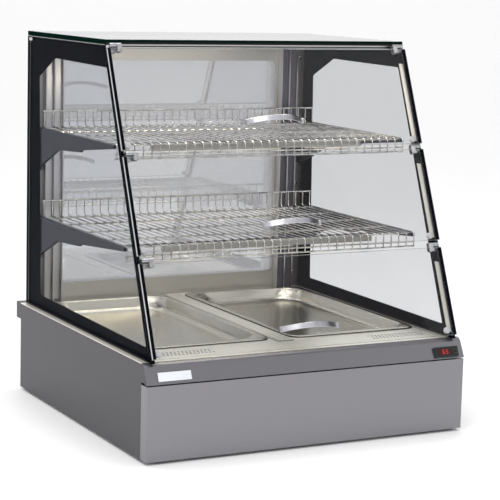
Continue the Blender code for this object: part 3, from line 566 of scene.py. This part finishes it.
def bow_handle(level):
    """Bowed strip handle with flat feet on the glass."""
    low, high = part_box(f"flap_{level}_handle")
    width, thick, foot_run = 0.012, 0.003, 0.006
    # The feet's inner faces lie on the box's rear line, the strip's width runs up the slope
    foot = Vector((0, high.y - UP.y * width / 2, low.z + UP.z * width / 2))
    rise = (high.y - low.y - UP.y * width) / -OUT.y - thick
    half = high.x
    steps, fullness = 28, 0.75
    path = [foot + Vector((-half, 0, 0)) + OUT * thick / 2]
    for step in range(steps + 1):
        t = -1 + 2 * step / steps
        bow = math.cos(t * math.pi / 2) ** fullness
        path.append(foot + Vector((t * (half - foot_run), 0, 0)) + OUT * (thick / 2 + rise * bow))
    path.append(foot + Vector((half, 0, 0)) + OUT * thick / 2)
    bm = bmesh.new()
    add_strip(bm, path, width / 2, UP, thick)
    obj = piece(f"bow_handle_{level}", bm, SATIN, f"flap_{level}")
    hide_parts(f"flap_{level}_handle")


def arc(steps):
    """Angles over a quarter turn, the start left out."""
    return [math.pi / 2 * step / steps for step in range(1, steps + 1)]


def add_thickness(obj, thick):
    """Turn an open skin into sheet metal of a given thickness."""
    sheet = obj.modifiers.new("sheet", 'SOLIDIFY')
    sheet.thickness = thick
    sheet.offset = 1.0


def food_pan(side):
    """Pan with a turned-down rim, large inner corners and a softly drafted wall."""
    low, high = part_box(f"pan_{side}")
    middle = (low + high) / 2
    half_x, half_y = (high.x - low.x) / 2, (high.y - low.y) / 2
    sheet, lip, foot = 0.0009, 0.0035, 0.016
    rim, wall = 0.0105, 0.0225         # insets of the rim's inner edge and of the wall's foot
    wall_foot = -(high.z - low.z - sheet - foot)
    quarter_steps = 12
    # Inset from the rim, height against the rim and corner radius of each ring
    sections = [(0.0006, -0.0030, 0.028), (0.0005, -0.0010, 0.028), (0.0010, -0.0002, 0.028),
                (0.0022, 0.0, 0.029), (rim, 0.0, 0.048)]
    sections += [(rim + lip * math.sin(a), lip * (math.cos(a) - 1), 0.050) for a in arc(4)]
    sections.append((wall, wall_foot, 0.055))
    sections += [(wall + foot * (1 - math.cos(a)), wall_foot - foot * math.sin(a), 0.058) for a in arc(6)]
    bm = bmesh.new()
    rings = []
    for inset, z, radius in sections:
        run_x, run_y = half_x - inset - radius, half_y - inset - radius
        ring = []
        for quarter, (turn_x, turn_y) in enumerate(((1, 1), (-1, 1), (-1, -1), (1, -1))):
            for step in range(quarter_steps + 1):
                angle = math.radians(90 * quarter + 90 * step / quarter_steps)
                ring.append(bm.verts.new((middle.x + turn_x * run_x + radius * math.cos(angle),
                                          middle.y + turn_y * run_y + radius * math.sin(angle), high.z + z)))
        rings.append(ring)
    join_rings(bm, rings)
    bm.faces.new(rings[-1])
    obj = piece(f"food_pan_{side}", bm, PAN, f"pan_{side}")
    add_thickness(obj, sheet)
    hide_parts(f"pan_{side}")


# Round the edge of a perforated cell, in half cells: corners and side middles from +X, turning left
CELL_RING = [(1, 0), (1, 1), (0, 1), (-1, 1), (-1, 0), (-1, -1), (0, -1), (1, -1)]
HALF_CELL_RING = [(-1, 0), (0, 0), (1, 0), (1, 1), (0, 1), (-1, 1)]
SAME_PLACE = 0.00001               # points nearer than this are one


def add_cell(bm, x, y, half_x, half_y, z, hole):
    """One flat cell with an eight-sided hole of the given half sizes."""
    outer = [bm.verts.new((x + half_x * u, y + half_y * v, z)) for u, v in CELL_RING]
    angles = [math.tau * k / len(CELL_RING) for k in range(len(CELL_RING))]
    inner = [bm.verts.new((x + hole[0] * math.cos(a), y + hole[1] * math.sin(a), z)) for a in angles]
    join_rings(bm, (outer, inner))


def perforated(name, low, high, columns, pitch, hole):
    """A flat lying strip with staggered columns of small holes running front to back."""
    bm = bmesh.new()
    cells = round((high[1] - low[1]) / pitch)
    half_x = (high[0] - low[0]) / columns / 2
    half_y = (high[1] - low[1]) / cells / 2
    for column in range(columns):
        x = low[0] + half_x * (2 * column + 1)
        shift = column % 2
        for cell in range(cells - shift):
            add_cell(bm, x, low[1] + half_y * (2 * cell + 1 + shift), half_x, half_y, low[2], hole)
        if shift:
            # A shifted column leaves half a cell at each end, filled by a plain face
            for y in (low[1], high[1] - half_y):
                ring = [(x + half_x * u, y + half_y * v, low[2]) for u, v in HALF_CELL_RING]
                bm.faces.new([bm.verts.new(point) for point in ring])
    bmesh.ops.remove_doubles(bm, verts=bm.verts, dist=SAME_PLACE)
    obj = piece(name, bm, DECK, smooth=False)
    add_thickness(obj, high[2] - low[2])
    return obj


def pan_rim_shadows():
    """Thin black band round each pan's rim, standing on the deck: painted shadow under the raised rim."""
    bottom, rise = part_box("deck")[1].z + 0.00005, 0.0019
    outside, inside = 0.0010, 0.0002   # from the rim
    rounding = 0.028
    bm = bmesh.new()
    for name, _ in SIDES:
        low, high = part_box(f"pan_{name}")
        middle = (low + high) / 2
        half_x, half_y = (high.x - low.x) / 2, (high.y - low.y) / 2
        loops = []
        for grow in (outside, inside):
            x, y = half_x + grow, half_y + grow
            loops.append(rounded_loop([(x, -y), (x, y), (-x, y), (-x, -y)], rounding))
        add_prism(bm, loops, Matrix.Translation((middle.x, middle.y, bottom + rise / 2)), rise)
    piece("pan_rim_shadows", bm, SEAL_AND_SHADE)


def vent_hole_shades():
    """Black disc in each air hole of the deck: painted shade down in the hole."""
    # Rows behind the front panel, first hole from the middle and pitch, mm
    rows, first, pitch, columns = (77, 90, 103), 200, 9, 15
    radius, height, rounding = 0.00245, 0.0009, 0.0001
    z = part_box("deck")[1].z - 0.0005
    bm = bmesh.new()
    for row, back in enumerate(rows):
        for column in range(columns):
            for _, side in SIDES:
                x = side * (first + pitch * (column + row % 2 / 2)) * MM
                add_disc(bm, (x, depth(back), z), (0, 0, 1), radius, height, 12, rounding)
    piece("vent_hole_shades", bm, FRIT_AND_SHADE)


def edge_lines():
    """Pale strips along the sloping edges inside the side glass, between the hinges: painted highlight of the
    bright glass edges.
    """
    near, far = 0.002, 0.015           # behind the sloping edge
    thick, middle = 0.0030, SIDE_LOW.x - 0.0022
    bm = bmesh.new()
    for level in FLAPS:
        low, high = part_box(f"flap_{level}_glass")
        bottom, top = low.z + 0.006, high.z - 0.034   # clear of the flap's foot and of its hinge
        loop = [(edge_y(z) + y, z) for z, y in ((bottom, near), (bottom, far), (top, far), (top, near))]
        for _, side in SIDES:
            add_prism(bm, [loop], Matrix.Translation((side * middle, 0, 0)) @ YZ, thick)
    piece("edge_lines", bm, EDGE_HIGHLIGHT, smooth=False)


def centre_strip():
    """Fine perforated strip between the pans, over a dark sheet that is painted shade under its holes."""
    low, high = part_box("centre_grille")
    thick, margin, gap = 0.0003, 0.0005, 0.00005
    skin = high.z - thick
    strip = perforated("centre_strip", (low.x, low.y, skin), high, columns=3, pitch=0.0075,
                       hole=(0.0024, 0.0020))
    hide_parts("centre_grille")
    bm = bmesh.new()
    add_box(bm, (low.x + margin, low.y + margin, low.z), (high.x - margin, high.y - margin, skin - gap))
    piece("centre_strip_hole_shade", bm, FRIT_AND_SHADE, smooth=False)


def side_strips():
    """Fine perforated strip along each side of the deck, over a dark sheet that is painted shade under its
    holes.
    """
    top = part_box("deck")[1].z
    front, rear = depth(52), depth(728)
    near, far = 0.3525, 0.3640         # from the middle of the deck
    shade_low, shade_high = top + 0.0001, top + 0.0004
    strip_low, strip_high = top + 0.00045, top + 0.0007
    margin_x, margin_y = 0.0004, 0.001
    for name, side in SIDES:
        left, right = sorted((side * near, side * far))
        bm = bmesh.new()
        add_box(bm, (left + margin_x, front + margin_y, shade_low),
                (right - margin_x, rear - margin_y, shade_high))
        piece(f"side_strip_hole_shade_{name}", bm, FRIT_AND_SHADE, smooth=False)
        perforated(f"side_strip_{name}", (left, front, strip_low), (right, rear, strip_high), columns=2,
                   pitch=0.0062, hole=(0.0021, 0.0023))


def post_groove_fills():
    """Strips in the two long grooves of each upright: dark ones at the right, as painted shade in the grooves,
    and of the upright's own steel at the left.
    """
    near, far = 0.0018, 0.0202         # from the ridge between the grooves
    front, back = 0.0070, 0.0087       # behind the front of the upright
    margin, rounding = 0.002, 0.0003
    for (name, _), material in zip(SIDES, (POST, GROOVE_SHADE)):
        low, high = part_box(f"rear_post_{name}")
        middle = (low.x + high.x) / 2
        bm = bmesh.new()
        for _, turn in SIDES:
            a, b = sorted((middle + turn * near, middle + turn * far))
            add_box(bm, (a, low.y + front, low.z + margin), (b, low.y + back, high.z - margin),
                    bevel=rounding)
        piece(f"post_groove_fills_{name}", bm, material)


def fascia_matrix(x, rise):
    """Local X = X, local Y = up the fascia, local Z = outward, from a place above the fascia's lower edge."""
    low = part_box("fascia")[0]
    lean, height = 14.6, 33.7          # of the fascia's face, mm
    up = Vector((0, lean, height)).normalized()
    outward = Vector((0, -up.z, up.y))
    origin = Vector((x, low.y, low.z)) + up * rise
    return Matrix((Vector((1, 0, 0, 0)), (*up, 0), (*outward, 0), (*origin, 1))).transposed()


# Bars of each numeral: a top, c lower right, d bottom, e lower left, f upper left, g middle
NUMERALS = {"6": "afedcg", "5": "afgcd"}


def thermostat_face():
    """Dark red lens with two lit numerals made of bars."""
    low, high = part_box("thermostat_body")
    matrix = fascia_matrix((low.x + high.x) / 2, 0.0155)
    back, face, lit = 0.0031, 0.0037, 0.0039   # heights above the fascia
    left, right, half_height = -0.0257, 0.0147, 0.0077
    bm = bmesh.new()
    add_box(bm, (left, -half_height, back), (right, half_height, face), matrix)
    piece("display_lens", bm, LENS)
    w, h, t = 0.0026, 0.0049, 0.0011   # half width, half height and bar width of a numeral
    places = (-0.0075, 0.0015)         # middle of each numeral
    gap = 0.0001
    spans = {"a": ((-w, h - t), (w, h)), "d": ((-w, -h), (w, t - h)), "g": ((-w, -t / 2), (w, t / 2)),
             "f": ((-w, 0), (t - w, h)), "e": ((-w, -h), (t - w, 0)), "c": ((w - t, -h), (w, 0))}
    bm = bmesh.new()
    for place, numeral in zip(places, "65"):
        for bar in NUMERALS[numeral]:
            (x0, y0), (x1, y1) = spans[bar]
            add_box(bm, (place + x0 + gap, y0 + gap, face), (place + x1 - gap, y1 - gap, lit), matrix)
    piece("display_numerals", bm, DIGIT, smooth=False)


def name_plate():
    """Blank pale plate at the left of the fascia."""
    x, rise = -0.326, 0.016
    half_width, half_height, rounding = 0.038, 0.0095, 0.0003
    back, face = 0.0002, 0.0009        # heights above the fascia
    bm = bmesh.new()
    add_box(bm, (-half_width, -half_height, back), (half_width, half_height, face),
            fascia_matrix(x, rise), rounding)
    piece("name_plate", bm, PLATE)


def top_dark_lines():
    """Black line near the foot of the tie bar's front, painted shadow under the bar, and a black strip along
    the lower part of the top glass's front edge.
    """
    low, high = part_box("front_tie_bar")
    bm = bmesh.new()
    add_box(bm, (low.x, low.y - 0.0016, low.z + 0.0012), (high.x, low.y - 0.0002, low.z + 0.0034),
            bevel=0.0003)
    add_box(bm, (TOP_LOW.x, TOP_LOW.y - 0.0006, TOP_LOW.z),
            (-TOP_LOW.x, TOP_LOW.y - 0.0001, TOP_LOW.z + 0.0045), bevel=0.0001)
    piece("top_dark_lines", bm, SEAL_AND_SHADE)


def top_edge_lines():
    """Thin alloy line along the top of each side glass, with a small clip at its rear."""
    near, far = SIDE_HIGH.x + 0.0001, SIDE_HIGH.x + 0.0007
    z = SIDE_HIGH.z - 0.0016
    rear = SIDE_HIGH.y
    rounding = 0.0001
    bm = bmesh.new()
    for _, side in SIDES:
        a, b = sorted((side * near, side * far))
        add_box(bm, (a, edge_y(z) + 0.003, z), (b, rear - 0.002, z + 0.0010), bevel=rounding)
        add_box(bm, (a, rear - 0.030, z - 0.0100), (b, rear - 0.012, z - 0.0030), bevel=rounding)
    piece("top_edge_lines", bm, ALLOY, smooth=False)


def top_lamp_strip():
    """Warm lamp strip inside the tie bar."""
    low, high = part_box("front_tie_bar")
    end, edge = 0.01, 0.004
    bm = bmesh.new()
    add_box(bm, (low.x + end, low.y + edge, low.z + 0.001), (high.x - end, high.y - edge, low.z + 0.003),
            bevel=0.0004)
    piece("top_lamp_strip", bm, LAMP)


def corner_buttons():
    """Small pale buttons at the top front corners of the glass."""
    radius, height, rounding = 0.0034, 0.0040, 0.0012
    x, z = 0.3705, TOP_LOW.z - 0.0048
    y = edge_y(z) - 0.0022
    bm = bmesh.new()
    for _, side in SIDES:
        add_disc(bm, (side * x, y, z), OUT, radius, height, 16, rounding)
    piece("corner_buttons", bm, NYLON)


def shelf_lamps():
    """Warm lamp faces under the shelf bars."""
    count, half, edge, rounding = 3, 0.055, 0.004, 0.0004
    for level in SHELVES:
        low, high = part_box(f"shelf_lamp_{level}")
        bottom, top = low.z - 0.0018, low.z - 0.0002
        bm = bmesh.new()
        for i in range(count):
            x = low.x + (high.x - low.x) * (i + 0.5) / count
            add_box(bm, (x - half, low.y + edge, bottom), (x + half, high.y - edge, top), bevel=rounding)
        piece(f"lamp_faces_{level}", bm, LAMP)


def screws():
    """Dome screws on the carriers' rear flanges and on the rear frame."""
    stand, height, rounding = 0.0010, 0.0019, 0.0008
    flange, flange_x, frame_x = 0.003, 0.3495, 0.3555
    bm = bmesh.new()
    for level in SHELVES:
        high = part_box(f"shelf_carrier_{level}")[1]
        y = high.y - flange - stand
        for _, side in SIDES:
            for drop in (0.020, 0.055, 0.090):
                add_disc(bm, (side * flange_x, y, high.z - drop), (0, 1, 0), 0.0036, height, 16, rounding)
    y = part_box("rear_frame")[0].y - stand
    for _, side in SIDES:
        for z in (0.25, 0.48, 0.80):
            add_disc(bm, (side * frame_x, y, z), (0, 1, 0), 0.0034, height, 16, rounding)
    piece("screws", bm, CHROME)


for name, side in SIDES:
    side_border(name, side)
    glass_seal(name, side)
flap_borders()
bumpers()
for level in SHELVES:
    wire_shelf(level)
for level in FLAPS:
    bow_handle(level)
for side, _ in SIDES:
    food_pan(side)
centre_strip()
side_strips()
pan_rim_shadows()
vent_hole_shades()
edge_lines()
post_groove_fills()
thermostat_face()
name_plate()
top_dark_lines()
top_edge_lines()
top_lamp_strip()
corner_buttons()
shelf_lamps()
screws()


# ------------------------------------------------------------------ floor, light and camera

def add_floor():
    """Plain pale floor, wide enough to fill the view."""
    half = 200.0
    bm = bmesh.new()
    bmesh.ops.create_grid(bm, x_segments=1, y_segments=1, size=half)
    mesh = bpy.data.meshes.new("floor")
    bm.to_mesh(mesh)
    bm.free()
    mesh.materials.append(surface("pale_floor", (0.97, 0.97, 0.97), 0.6, 0.0, 0.02, 0.01, 2.0, gloss=0.2))
    floor = bpy.data.objects.new("floor", mesh)
    floor.location.z = -0.0005         # just under the feet
    bpy.context.scene.collection.objects.link(floor)


def surround():
    """Even white surround with one darker side at the right, so that bright metal has something to show."""
    world = bpy.data.worlds.new("studio")
    bpy.context.scene.world = world
    world.use_nodes = True
    nodes, links = world.node_tree.nodes, world.node_tree.links
    background = nodes["Background"]
    background.inputs["Color"].default_value = (1, 1, 1, 1)
    coord = nodes.new("ShaderNodeTexCoord")
    dot = nodes.new("ShaderNodeVectorMath")
    dot.operation = 'DOT_PRODUCT'
    dot.inputs[1].default_value = Vector((1.0, -0.15, 0.05)).normalized()
    links.new(coord.outputs["Generated"], dot.inputs[0])
    fade = nodes.new("ShaderNodeMapRange")
    fade.interpolation_type = 'SMOOTHSTEP'
    fade.inputs["From Min"].default_value = 0.38
    fade.inputs["From Max"].default_value = 0.95
    fade.inputs["To Min"].default_value = 1.12
    fade.inputs["To Max"].default_value = 0.08
    links.new(dot.outputs["Value"], fade.inputs["Value"])
    links.new(fade.outputs["Result"], background.inputs["Strength"])


def lights():
    """Three soft studio lights aimed at the case, and its own warm light from just under its top."""
    target = (CAD_LOW + CAD_HIGH) / 2
    # Name, place, side in metres and power in watts
    studio = (("key", (-1.6, -2.2, 2.6), 1.8, 20), ("fill", (2.4, -1.6, 1.8), 2.0, 8),
              ("top", (0.2, 0.3, 3.0), 2.2, 30))
    for name, place, size, power in studio:
        light = bpy.data.lights.new(name, 'AREA')
        light.shape = 'SQUARE'
        light.size = size
        light.energy = power
        obj = bpy.data.objects.new(name, light)
        obj.location = place
        obj.rotation_euler = (target - Vector(place)).to_track_quat('-Z', 'Y').to_euler()
        bpy.context.scene.collection.objects.link(obj)
    glow = bpy.data.lights.new("case_glow", 'AREA')
    glow.shape = 'RECTANGLE'
    glow.size = 0.62
    glow.size_y = 0.05
    glow.energy = 1.5
    glow.color = (1.0, 0.88, 0.66)
    lamp = bpy.data.objects.new("case_glow", glow)
    lamp.location = (0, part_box("front_tie_bar")[1].y + 0.03, TOP_LOW.z - 0.012)
    bpy.context.scene.collection.objects.link(lamp)


def camera():
    """Long lens from the front left, a little above the case."""
    data = bpy.data.cameras.new("camera")
    data.lens = 127.05
    data.sensor_width = 36.0
    data.clip_end = 100.0
    obj = bpy.data.objects.new("camera", data)
    right = Vector((0.88589, -0.46314, 0.02642))
    up = Vector((0.04825, 0.14864, 0.98771))
    ahead = Vector((0.46138, 0.87373, -0.15402))
    place = Vector((-1.8558, -3.5991, 1.0059))
    obj.matrix_world = Matrix(((*right, 0), (*up, 0), (*-ahead, 0), (*place, 1))).transposed()
    bpy.context.scene.collection.objects.link(obj)
    bpy.context.scene.camera = obj


add_floor()
surround()
lights()
camera()
bpy.context.scene.view_settings.view_transform = 'Standard'
